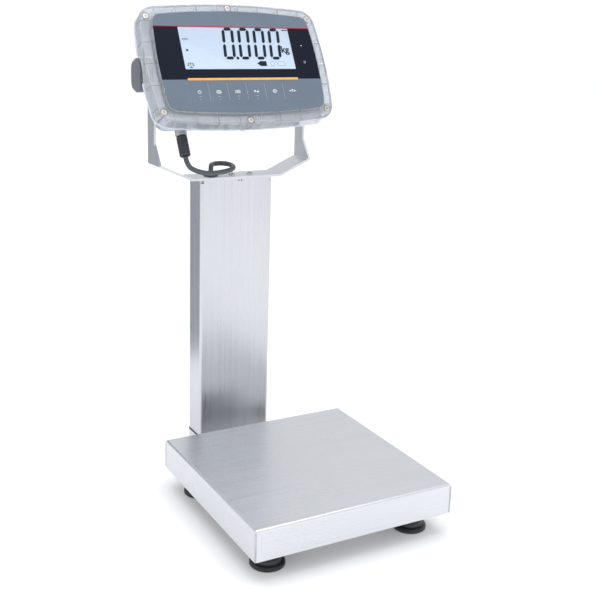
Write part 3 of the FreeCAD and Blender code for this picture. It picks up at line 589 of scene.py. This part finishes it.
# Half widths of the two short lines under each key's mark; the last two keys have none
UNDER_HALVES = ((1.4, 0.8), (2.2, 1.1), (2.2, 1.1), (2.0, 1.0), (), ())
UNDER_MARKS = [scaled([bar_outline(-half, y, half, y, 0.5) for half, y in zip(halves, (0, -3.6))])
               for halves in UNDER_HALVES]
BALANCE_MARK = scaled([
    bar_outline(-3.6, 3.0, 3.6, 3.0, 0.7), bar_outline(0, -3.0, 0, 3.8, 0.8),
    bar_outline(-2.6, -3.0, 2.6, -3.0, 0.8),
    bar_outline(-3.3, 3.0, -4.4, 0.2, 0.45), bar_outline(-3.3, 3.0, -2.2, 0.2, 0.45),
    bar_outline(3.3, 3.0, 4.4, 0.2, 0.45), bar_outline(3.3, 3.0, 2.2, 0.2, 0.45),
    [(-4.8, 0.3), (-1.8, 0.3), (-2.4, -0.7), (-4.2, -0.7)],
    [(4.8, 0.3), (1.8, 0.3), (2.4, -0.7), (4.2, -0.7)]])
STEADY_MARK = scaled([
    [(-4.4, 0), (-2.4, 1.1), (-2.4, -1.1)], [(4.4, 0), (2.4, 1.1), (2.4, -1.1)]] +
    ring_outlines(0, 0, 1.3, 0.8) + [bar_outline(-2.4, 0, -1.3, 0, 0.4), bar_outline(1.3, 0, 2.4, 0, 0.4)])


class SCALE_OT_pan(bpy.types.Operator):
    """Brush the weighing pan and run a weld bead down each folded corner"""
    bl_idname = "scale.pan"
    bl_label = "Pan"

    def execute(self, context):
        colour = context.scene.scale_colours.pan_steel
        steel = brushed_steel("pan steel", colour, "X", 0.29, 0.04, 0.05, 0.03)
        paint(steel, "weighing_pan")
        beads = []
        for x in (PAN_LOW.x, PAN_HIGH.x):
            for y in (PAN_LOW.y, PAN_HIGH.y):
                inward = Vector((math.copysign(WELD_INSET, -x), math.copysign(WELD_INSET, -y), 0.3 * MM))
                length = PAN_HIGH.z - PAN_LOW.z - WELD_FREE
                beads.append(new_disc("bead", Vector((x, y, PAN_LOW.z)) + inward,
                                      WELD_R, length, WELD_EDGE, 16))
        finish(join("pan_corner_welds", beads), "pan",
               plated("weld bead", tuple(c * 0.80 for c in colour), 0.34))
        return {"FINISHED"}


class SCALE_OT_base(bpy.types.Operator):
    """Coat the base frame, its rails, beams and spider"""
    bl_idname = "scale.base"
    bl_label = "Base frame"

    def execute(self, context):
        coat = powder_coat("grey powder coat", (0.20, 0.205, 0.215))
        paint(coat, "base_rails", "cross_beams", "spider_plate", "spider_bars",
              "cell_lower_spacer", "cell_upper_spacer", "column_spigot")
        paint(brushed_steel("arm steel", (0.66, 0.665, 0.68), "Y", 0.33, 0.2), "column_arm")
        paint(brushed_steel("machined alloy", (0.78, 0.79, 0.80), "Y", 0.36, 0.2), "load_cell")
        vial = clear_plastic("vial", (0.70, 0.90, 0.35), 0.05, 1.49)
        paint(vial, "level_vial")
        return {"FINISHED"}


class SCALE_OT_feet(bpy.types.Operator):
    """Finish the rubber feet, their studs and the pads under the pan"""
    bl_idname = "scale.feet"
    bl_label = "Feet"

    def execute(self, context):
        rubber = moulded("foot rubber", (0.020, 0.021, 0.028), 0.40, 900.0, 0.35)
        paint(rubber, "pan_pads", *["foot_pad_" + corner for corner in CORNERS])
        seal = moulded("seal rubber", (0.03, 0.03, 0.033), 0.6, 900.0, 0.4)
        paint(seal, "column_gasket", "cable_grommet", "housing_gasket")
        paint(plated("zinc plated", (0.60, 0.60, 0.60)), "foot_nuts", "overload_stops", "cell_bolts_lower",
              "cell_bolts_upper", *["foot_stud_" + corner for corner in CORNERS])
        return {"FINISHED"}


class SCALE_OT_column(bpy.types.Operator):
    """Brush the column, its cap and the yoke"""
    bl_idname = "scale.column"
    bl_label = "Column and yoke"

    def execute(self, context):
        colour = context.scene.scale_colours.column_steel
        paint(brushed_steel("column steel", colour, "Z", 0.27, 0.12), "column_tube", "column_cap")
        paint(brushed_steel("yoke steel", tuple(min(1, c * 1.06) for c in colour), "X", 0.33, 0.14),
              "indicator_bracket")
        paint(plated("bright plated", (0.66, 0.66, 0.67)), "column_screws", "bracket_screws")
        return {"FINISHED"}


class SCALE_OT_case(bpy.types.Operator):
    """Make the clear front, the pale back and the screws that hold them together"""
    bl_idname = "scale.case"
    bl_label = "Indicator case"

    def execute(self, context):
        tint = context.scene.scale_colours.case_clear
        paint(clear_plastic("clear case", tint, 0.06, clearness=0.80), "front_housing")
        paint(moulded("pale case", (0.62, 0.67, 0.77), 0.42), "rear_housing")
        paint(moulded("black nylon", (0.03, 0.03, 0.034), 0.4), "blanking_plugs", "pivot_washers")
        paint(plated("turned brass", (0.62, 0.45, 0.22), 0.30), "housing_inserts", "pivot_inserts")
        paint(plated("screw steel", (0.70, 0.68, 0.64), 0.30), "housing_screws")
        paint(circuit_board("circuit board"), "keypad_board", "main_board")
        paint(moulded("battery case", (0.03, 0.03, 0.035), 0.4), "battery_pack")
        brass = plated("brass centre", (0.56, 0.38, 0.20), 0.34)
        head = face_box("housing_screws")[1].z
        centres = []
        for x, y in screw_places():
            centres.append(new_disc("centre", (x, y, head - 1.2 * MM), 1.45 * MM, 0.9 * MM, 0.2 * MM, 6))
        finish(lay_on_face(join("screw_centres", centres)), "indicator", brass)
        return {"FINISHED"}


# No two corners of one screw are this far apart, and no two screws this near
SCREW_REACH = 12 * MM


def screw_places():
    """Middles of the case screws along the face, found from their separate shells."""
    back = FACE.inverted()
    groups = []
    for vertex in NODES["housing_screws"].data.vertices:
        point = (back @ vertex.co).xy
        near = [group for group in groups if (group[0] - point).length < SCREW_REACH]
        if near:
            near[0].append(point)
        else:
            groups.append([point])
    return [tuple((min(p[i] for p in group) + max(p[i] for p in group)) / 2 for i in range(2))
            for group in groups]


class SCALE_OT_film(bpy.types.Operator):
    """Print the film over the front and its keys, with a mark on each key"""
    bl_idname = "scale.film"
    bl_label = "Film and keys"

    def execute(self, context):
        colours = context.scene.scale_colours
        film = printed_film("printed film", colours)
        paint(film, "overlay", *["key_%d" % number for number in range(1, 7)])
        white = moulded("white print", (0.80, 0.82, 0.86), 0.5, 700.0, 0.05)
        faint = moulded("faint print", (0.36, 0.41, 0.48), 0.5, 700.0, 0.05)
        top = OVERLAY_HIGH.z
        sunk, raised = top - PRINT_SINK, top + PRINT_RISE
        seals = []
        for low, high in KEY_BOXES:
            seals += key_seal(low, high, top - 0.6 * MM, top - 0.04 * MM)
        finish(lay_on_face(join("key_seals", seals)), "indicator", film)
        for number, (low, high) in enumerate(KEY_BOXES, start=1):
            middle = (low + high) / 2
            bold = [shifted(o, middle.x, middle.y + 1.6 * MM) for o in KEY_MARKS[number - 1]]
            mark = print_on_display("key_mark_%d" % number, bold, sunk, top + BOLD_RISE)
            finish(lay_on_face(mark), "button_%d" % number, white)
            small = [shifted(o, middle.x, middle.y - 4.4 * MM) for o in UNDER_MARKS[number - 1]]
            if small:
                mark = print_on_display("key_note_%d" % number, small, sunk, raised)
                finish(lay_on_face(mark), "button_%d" % number, faint)
        lines = []
        for (low, high), (after, _) in zip(KEY_BOXES, KEY_BOXES[1:]):
            x = (high.x + after.x) / 2
            lines.append(bar_outline(x, low.y + 5 * MM, x, high.y - 1 * MM, 0.32 * MM))
        mark = print_on_display("key_separators", lines, sunk, raised)
        finish(lay_on_face(mark), "indicator", faint)
        side = (WINDOW_HIGH.x + OVERLAY_HIGH.x) / 2 - 1.5 * MM
        ready = round_outline(side, WINDOW_LOW.y + 33 * MM, 0.65 * MM)
        mark = print_on_display("ready_lamp", [ready], sunk, top + LAMP_RISE)
        finish(lay_on_face(mark), "indicator", white)
        eye = ring_outlines(side, WINDOW_LOW.y + 9.5 * MM, 1.6 * MM, 1.0 * MM)
        mark = print_on_display("sensor_eye", eye, sunk, raised)
        finish(lay_on_face(mark), "indicator", faint)
        return {"FINISHED"}


class SCALE_OT_display(bpy.types.Operator):
    """Show a reading of nought, its unit and the small state marks on the display"""
    bl_idname = "scale.display"
    bl_label = "Display reading"

    def execute(self, context):
        colours = context.scene.scale_colours
        sizes = context.scene.scale_sizes
        paint(lit_display("lit display", colours), "lcd_module")
        paint(lit_bar("lit bar", colours), "status_light_bar")
        paint(clear_plastic("display window", (1.0, 1.0, 1.0), 0.02, 1.30, 0.0, 0.015), "display_window")
        high = face_box("display_window")[1].z + 0.05 * MM
        low = high - 0.12 * MM
        base = WINDOW_LOW.y + 13.0 * MM
        slope = math.tan(math.radians(5.8))
        matt = {"rough": 0.5, "grain": 600.0, "depth": 0.0, "Specular_IOR_Level": 0.1}
        ink = moulded("display ink", (0.010, 0.016, 0.030), **matt)
        pale_ink = moulded("pale display ink", (0.30, 0.36, 0.44), **matt)
        outlines = []
        for place in range(4):
            left = DIGITS_LEFT + place * sizes.digit_pitch
            outlines += digit_zero(left, base, sizes.digit_width, sizes.digit_height, sizes.stroke, slope)
        outlines.append(round_outline(DIGITS_LEFT + 18.9 * MM, base + 2.0 * MM, 2.1 * MM, 12))
        tag = [(27.5, -5.8), (22.5, -2.4), (27.5, 1.0), (36.0, 1.0), (36.0, -5.8)]
        outlines.append([(x * MM, base + (y - 3.2) * MM) for x, y in tag])
        left = WINDOW_LOW.x + 6.8 * MM
        outlines.append(round_outline(left, base + 12.5 * MM, 1.5 * MM, 16))
        outlines += [shifted(o, left + 1.0 * MM, base - 8.0 * MM) for o in BALANCE_MARK]
        outlines += [shifted(o, left, base + 27.5 * MM) for o in STEADY_MARK]
        outlines.append(bar_outline(68 * MM, base + 41.6 * MM, 76 * MM, base + 41.6 * MM, 1.4 * MM))
        reading = print_on_display("display_reading", outlines, low, high)
        unit = letter_mesh("display_unit", "kg", 12.8 * MM, 61.0 * MM, base + 10.0 * MM, low, high)
        reading = join("display_reading", [reading, unit])
        finish(lay_on_face(reading), "indicator", ink)
        under = base - 5.6 * MM
        unlit = ring_outlines(44.5 * MM, under, 3.3 * MM, 2.8 * MM)
        box = [(51, 0), (53.5, 3), (61.5, 3), (64, 0), (61.5, -3), (53.5, -3), (51, 0)]
        for (x0, y0), (x1, y1) in zip(box, box[1:]):
            ends = x0 * MM, under + y0 * MM, x1 * MM, under + y1 * MM
            unlit.append(bar_outline(*ends, 0.5 * MM))
        faint = print_on_display("display_unlit", unlit, low, high)
        finish(lay_on_face(faint), "indicator", pale_ink)
        return {"FINISHED"}


class SCALE_OT_knobs(bpy.types.Operator):
    """Finish the clamping knobs, the sensor plug and its socket"""
    bl_idname = "scale.knobs"
    bl_label = "Knobs and plug"

    def execute(self, context):
        grey = moulded("knob grey", context.scene.scale_colours.knob_grey, 0.42)
        paint(grey, "knob_left", "knob_right")
        paint(plated("nickel", (0.66, 0.65, 0.63), 0.26), "plug_nut", "sensor_socket")
        paint(moulded("plug rubber", (0.030, 0.034, 0.042), 0.5, 900.0, 0.4), "plug_body")
        return {"FINISHED"}


class SCALE_OT_cable(bpy.types.Operator):
    """Run the sensor cable from its plug, round its loop and into the grommet"""
    bl_idname = "scale.cable"
    bl_label = "Sensor cable"

    def execute(self, context):
        diameter = context.scene.scale_sizes.cable_diameter
        route = cable_route()
        jacket = cable_jacket("cable jacket")
        paint(jacket, "sensor_cable", "load_cell_cable")
        centre_line = spline_points(route)
        cable = tube_along("sensor_cable_run", centre_line, diameter / 2)
        take(cable)
        bpy.ops.object.shade_smooth()
        cable.data.materials.append(jacket)
        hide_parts("sensor_cable")
        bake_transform(cable)
        return {"FINISHED"}


def cable_route():
    """The cable's control points: plug, sweep over the yoke, loop, grommet."""
    low, high = face_box("plug_body")
    plug_end = FACE @ Vector(((low.x + high.x) / 2, low.y, (low.z + high.z) / 2))
    grommet_low, grommet_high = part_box("cable_grommet")
    grommet = (grommet_low + grommet_high) / 2
    yoke_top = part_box("column_cap")[1].z + 3 * MM
    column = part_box("column_tube")[0].y

    def above_yoke(x, y, z):
        return Vector((x * MM, column + y * MM, yoke_top + z * MM))

    return [
        plug_end,
        plug_end - FACE_UP * 13 * MM,
        above_yoke(-66, -19, 13),
        above_yoke(-47, -12, 8),
        above_yoke(-27, -5, 7.5),
        above_yoke(-9, 1, 9),
        above_yoke(0, 10, 11),
        above_yoke(0, 25, 13),
        above_yoke(-10, 34, 13.5),
        above_yoke(-23, 31, 13),
        Vector((grommet.x, grommet.y, yoke_top + 12 * MM)),
        Vector((grommet.x, grommet.y, yoke_top - 3 * MM)),
    ]


def spline_points(route):
    """Points read from the smooth spline that has the route as its control points."""
    curve = bpy.data.curves.new("route", "CURVE")
    curve.dimensions = "3D"
    spline = curve.splines.new("NURBS")
    spline.points.add(len(route) - 1)
    for point, place in zip(spline.points, route):
        point.co = (*place, 1.0)
    spline.order_u = 3
    spline.use_endpoint_u = True
    spline.resolution_u = 12
    holder = bpy.data.objects.new("route", curve)
    bpy.context.scene.collection.objects.link(holder)
    bpy.context.view_layer.update()
    line = bpy.data.meshes.new_from_object(holder)
    points = [vertex.co.copy() for vertex in line.vertices]
    bpy.data.objects.remove(holder)
    bpy.data.meshes.remove(line)
    kept = points[:1]
    for point in points[1:]:
        if (point - kept[-1]).length > 0.05 * MM:
            kept.append(point)
    return kept


def tube_along(name, points, radius, sides=20):
    """A closed tube round a line of points, its rings carried along without twisting."""
    mesh = bmesh.new()
    side = (points[1] - points[0]).orthogonal().normalized()
    rings = []
    for i, point in enumerate(points):
        along = (points[min(i + 1, len(points) - 1)] - points[max(i - 1, 0)]).normalized()
        side = (side - along * side.dot(along)).normalized()
        other = along.cross(side)
        ring = []
        for k in range(sides):
            a = 2 * math.pi * k / sides
            ring.append(mesh.verts.new(point + (side * math.cos(a) + other * math.sin(a)) * radius))
        rings.append(ring)
    for first, second in zip(rings, rings[1:]):
        for k in range(sides):
            mesh.faces.new((first[k], first[(k + 1) % sides], second[(k + 1) % sides], second[k]))
    mesh.faces.new(reversed(rings[0]))
    mesh.faces.new(rings[-1])
    bmesh.ops.recalc_face_normals(mesh, faces=mesh.faces)
    data = bpy.data.meshes.new(name)
    mesh.to_mesh(data)
    mesh.free()
    piece = bpy.data.objects.new(name, data)
    bpy.context.scene.collection.objects.link(piece)
    return piece


# The surroundings as the steel sees them: brightness in front, behind and above, the
# white that is looked at, and the ranges of direction over which one turns into the next
FRONT_GLOW, BACK_GLOW, TOP_GLOW, SEEN_GLOW = 1.30, 0.84, 0.94, 1.05
LOW_SKY = (0.02, 0.60)
FRONT_TO_BACK = (-0.5, 0.35)


class SCALE_OT_stage(bpy.types.Operator):
    """Set the pale floor, the soft lights and the camera"""
    bl_idname = "scale.stage"
    bl_label = "Stage"

    def execute(self, context):
        pale_floor()
        reflection_card("left_card", (-0.22, 0.49, 0.32), (0.28, 0.64), 28.0)
        middle = PAN_TOP + Vector((0, 0.1, 0.15))
        soft_light("overhead", (0.0, 0.1, 2.6), middle, 3.0, 36)
        soft_light("front", (0.9, -1.9, 2.5), middle, 1.2, 3)
        context.scene.world = studio_world()
        context.scene.view_settings.view_transform = "Standard"
        add_camera(context.scene)
        return {"FINISHED"}


def pale_floor():
    clear_selection()
    bpy.ops.mesh.primitive_circle_add(vertices=96, radius=8.0, fill_type="NGON")
    floor = bpy.context.object
    floor.name = "studio_floor"
    pale = Shader("pale floor", (0.82, 0.82, 0.83), 0.9, 0.0, Specular_IOR_Level=0.0)
    pale.set(pale.bsdf, "Emission Color", (1.0, 1.0, 1.0, 1.0))
    # The floor glows less near the scale than further out: painted shade round the scale, a darker floor
    # near it on top of its real shadow, also seen in the steel's reflections
    reach = pale.add("ShaderNodeVectorMath", {0: pale.where}, operation="LENGTH").outputs["Value"]
    pale.link(pale.spread(reach, 0.16, 0.34, 0.24, 0.55), "Emission Strength")
    floor.data.materials.append(pale.material)
    return floor


def reflection_card(name, middle, size, turn):
    """An upright grey board that is only seen in the steel."""
    clear_selection()
    bpy.ops.mesh.primitive_plane_add(size=1)
    card = bpy.context.object
    card.name = name
    card.scale = (size[0], size[1], 1)
    card.rotation_euler = (math.radians(90), 0, math.radians(turn))
    card.location = middle
    freeze(card)
    grey = Shader("card grey", (0.16, 0.165, 0.18), 0.9, 0.0, Emission_Strength=0.24)
    grey.set(grey.bsdf, "Emission Color", (0.9, 0.93, 1.0, 1.0))
    card.data.materials.append(grey.material)
    card.visible_camera = card.visible_diffuse = card.visible_shadow = card.visible_transmission = False
    return card


def studio_world():
    """White to look at; in reflections brighter low down in front than behind or above."""
    world = bpy.data.worlds.new("studio")
    world.use_nodes = True
    tree = world.node_tree
    direction = tree.nodes.new("ShaderNodeTexCoord").outputs["Generated"]
    parts = tree.nodes.new("ShaderNodeSeparateXYZ")
    tree.links.new(direction, parts.inputs[0])
    height = tree.nodes.new("ShaderNodeMapRange")
    height.interpolation_type = "SMOOTHSTEP"
    tree.links.new(parts.outputs["Z"], height.inputs["Value"])
    set_ranges(height, LOW_SKY, (0.0, 1.0))
    front = tree.nodes.new("ShaderNodeMapRange")
    front.interpolation_type = "SMOOTHSTEP"
    tree.links.new(parts.outputs["Y"], front.inputs["Value"])
    set_ranges(front, FRONT_TO_BACK, (FRONT_GLOW, BACK_GLOW))
    level = tree.nodes.new("ShaderNodeMix")
    tree.links.new(height.outputs["Result"], level.inputs[0])
    tree.links.new(front.outputs["Result"], level.inputs[2])
    level.inputs[3].default_value = TOP_GLOW
    ray = tree.nodes.new("ShaderNodeLightPath")
    shown = tree.nodes.new("ShaderNodeMix")
    tree.links.new(ray.outputs["Is Camera Ray"], shown.inputs[0])
    tree.links.new(level.outputs[0], shown.inputs[2])
    shown.inputs[3].default_value = SEEN_GLOW
    background = tree.nodes["Background"]
    background.inputs["Color"].default_value = (0.97, 0.98, 1.0, 1.0)
    tree.links.new(shown.outputs[0], background.inputs["Strength"])
    return world


def soft_light(name, place, target, size, power):
    lamp = bpy.data.lights.new(name, "AREA")
    lamp.shape = "DISK"
    lamp.size = size
    lamp.energy = power
    holder = bpy.data.objects.new(name, lamp)
    holder.location = place
    holder.rotation_euler = (Vector(target) - Vector(place)).to_track_quat("-Z", "Y").to_euler()
    bpy.context.scene.collection.objects.link(holder)


# The camera: its lens in millimetres, the shift of its frame, its place from the middle of
# the pan's top, and its turn, downward tilt and roll in degrees
LENS = 59.1
FRAME_SHIFT = (0.03, -0.07)
CAMERA_OFFSET = (-0.5490, -0.9525, 0.5199)
CAMERA_TURN, CAMERA_DOWN, CAMERA_ROLL = -28.35, 13.72, 1.39


def add_camera(scene):
    lens = bpy.data.cameras.new("camera")
    lens.lens = LENS
    lens.shift_x, lens.shift_y = FRAME_SHIFT
    camera = bpy.data.objects.new("camera", lens)
    turn = Matrix.Rotation(math.radians(CAMERA_TURN), 4, "Z")
    tilt = Matrix.Rotation(math.radians(90 - CAMERA_DOWN), 4, "X")
    roll = Matrix.Rotation(math.radians(CAMERA_ROLL), 4, "Z")
    place = PAN_TOP + Vector(CAMERA_OFFSET)
    camera.matrix_world = Matrix.Translation(place) @ turn @ tilt @ roll
    scene.collection.objects.link(camera)
    scene.camera = camera


class SCALE_PT_panel(bpy.types.Panel):
    """Buttons for the pieces of the scale"""
    bl_label = "Bench scale"
    bl_idname = "SCALE_PT_panel"
    bl_space_type = "VIEW_3D"
    bl_region_type = "UI"
    bl_category = "Scale"

    def draw(self, context):
        for operator in OPERATORS:
            self.layout.operator(operator.bl_idname)
        for name in ScaleColours.__annotations__:
            self.layout.prop(context.scene.scale_colours, name)
        for name in ScaleSizes.__annotations__:
            self.layout.prop(context.scene.scale_sizes, name)


OPERATORS = (SCALE_OT_stage, SCALE_OT_cable, SCALE_OT_pan, SCALE_OT_base, SCALE_OT_feet, SCALE_OT_column,
             SCALE_OT_case, SCALE_OT_film, SCALE_OT_display, SCALE_OT_knobs)
CLASSES = (ScaleColours, ScaleSizes) + OPERATORS + (SCALE_PT_panel,)


def register():
    for item in CLASSES:
        bpy.utils.register_class(item)
    bpy.types.Scene.scale_colours = bpy.props.PointerProperty(type=ScaleColours)
    bpy.types.Scene.scale_sizes = bpy.props.PointerProperty(type=ScaleSizes)


def unregister():
    del bpy.types.Scene.scale_sizes
    del bpy.types.Scene.scale_colours
    for item in reversed(CLASSES):
        bpy.utils.unregister_class(item)


def main():
    register()
    bpy.ops.scale.stage()
    bpy.ops.scale.cable()
    bpy.ops.scale.pan()
    bpy.ops.scale.base()
    bpy.ops.scale.feet()
    bpy.ops.scale.column()
    bpy.ops.scale.case()
    bpy.ops.scale.film()
    bpy.ops.scale.display()
    bpy.ops.scale.knobs()


if __name__ == "__main__":
    main()
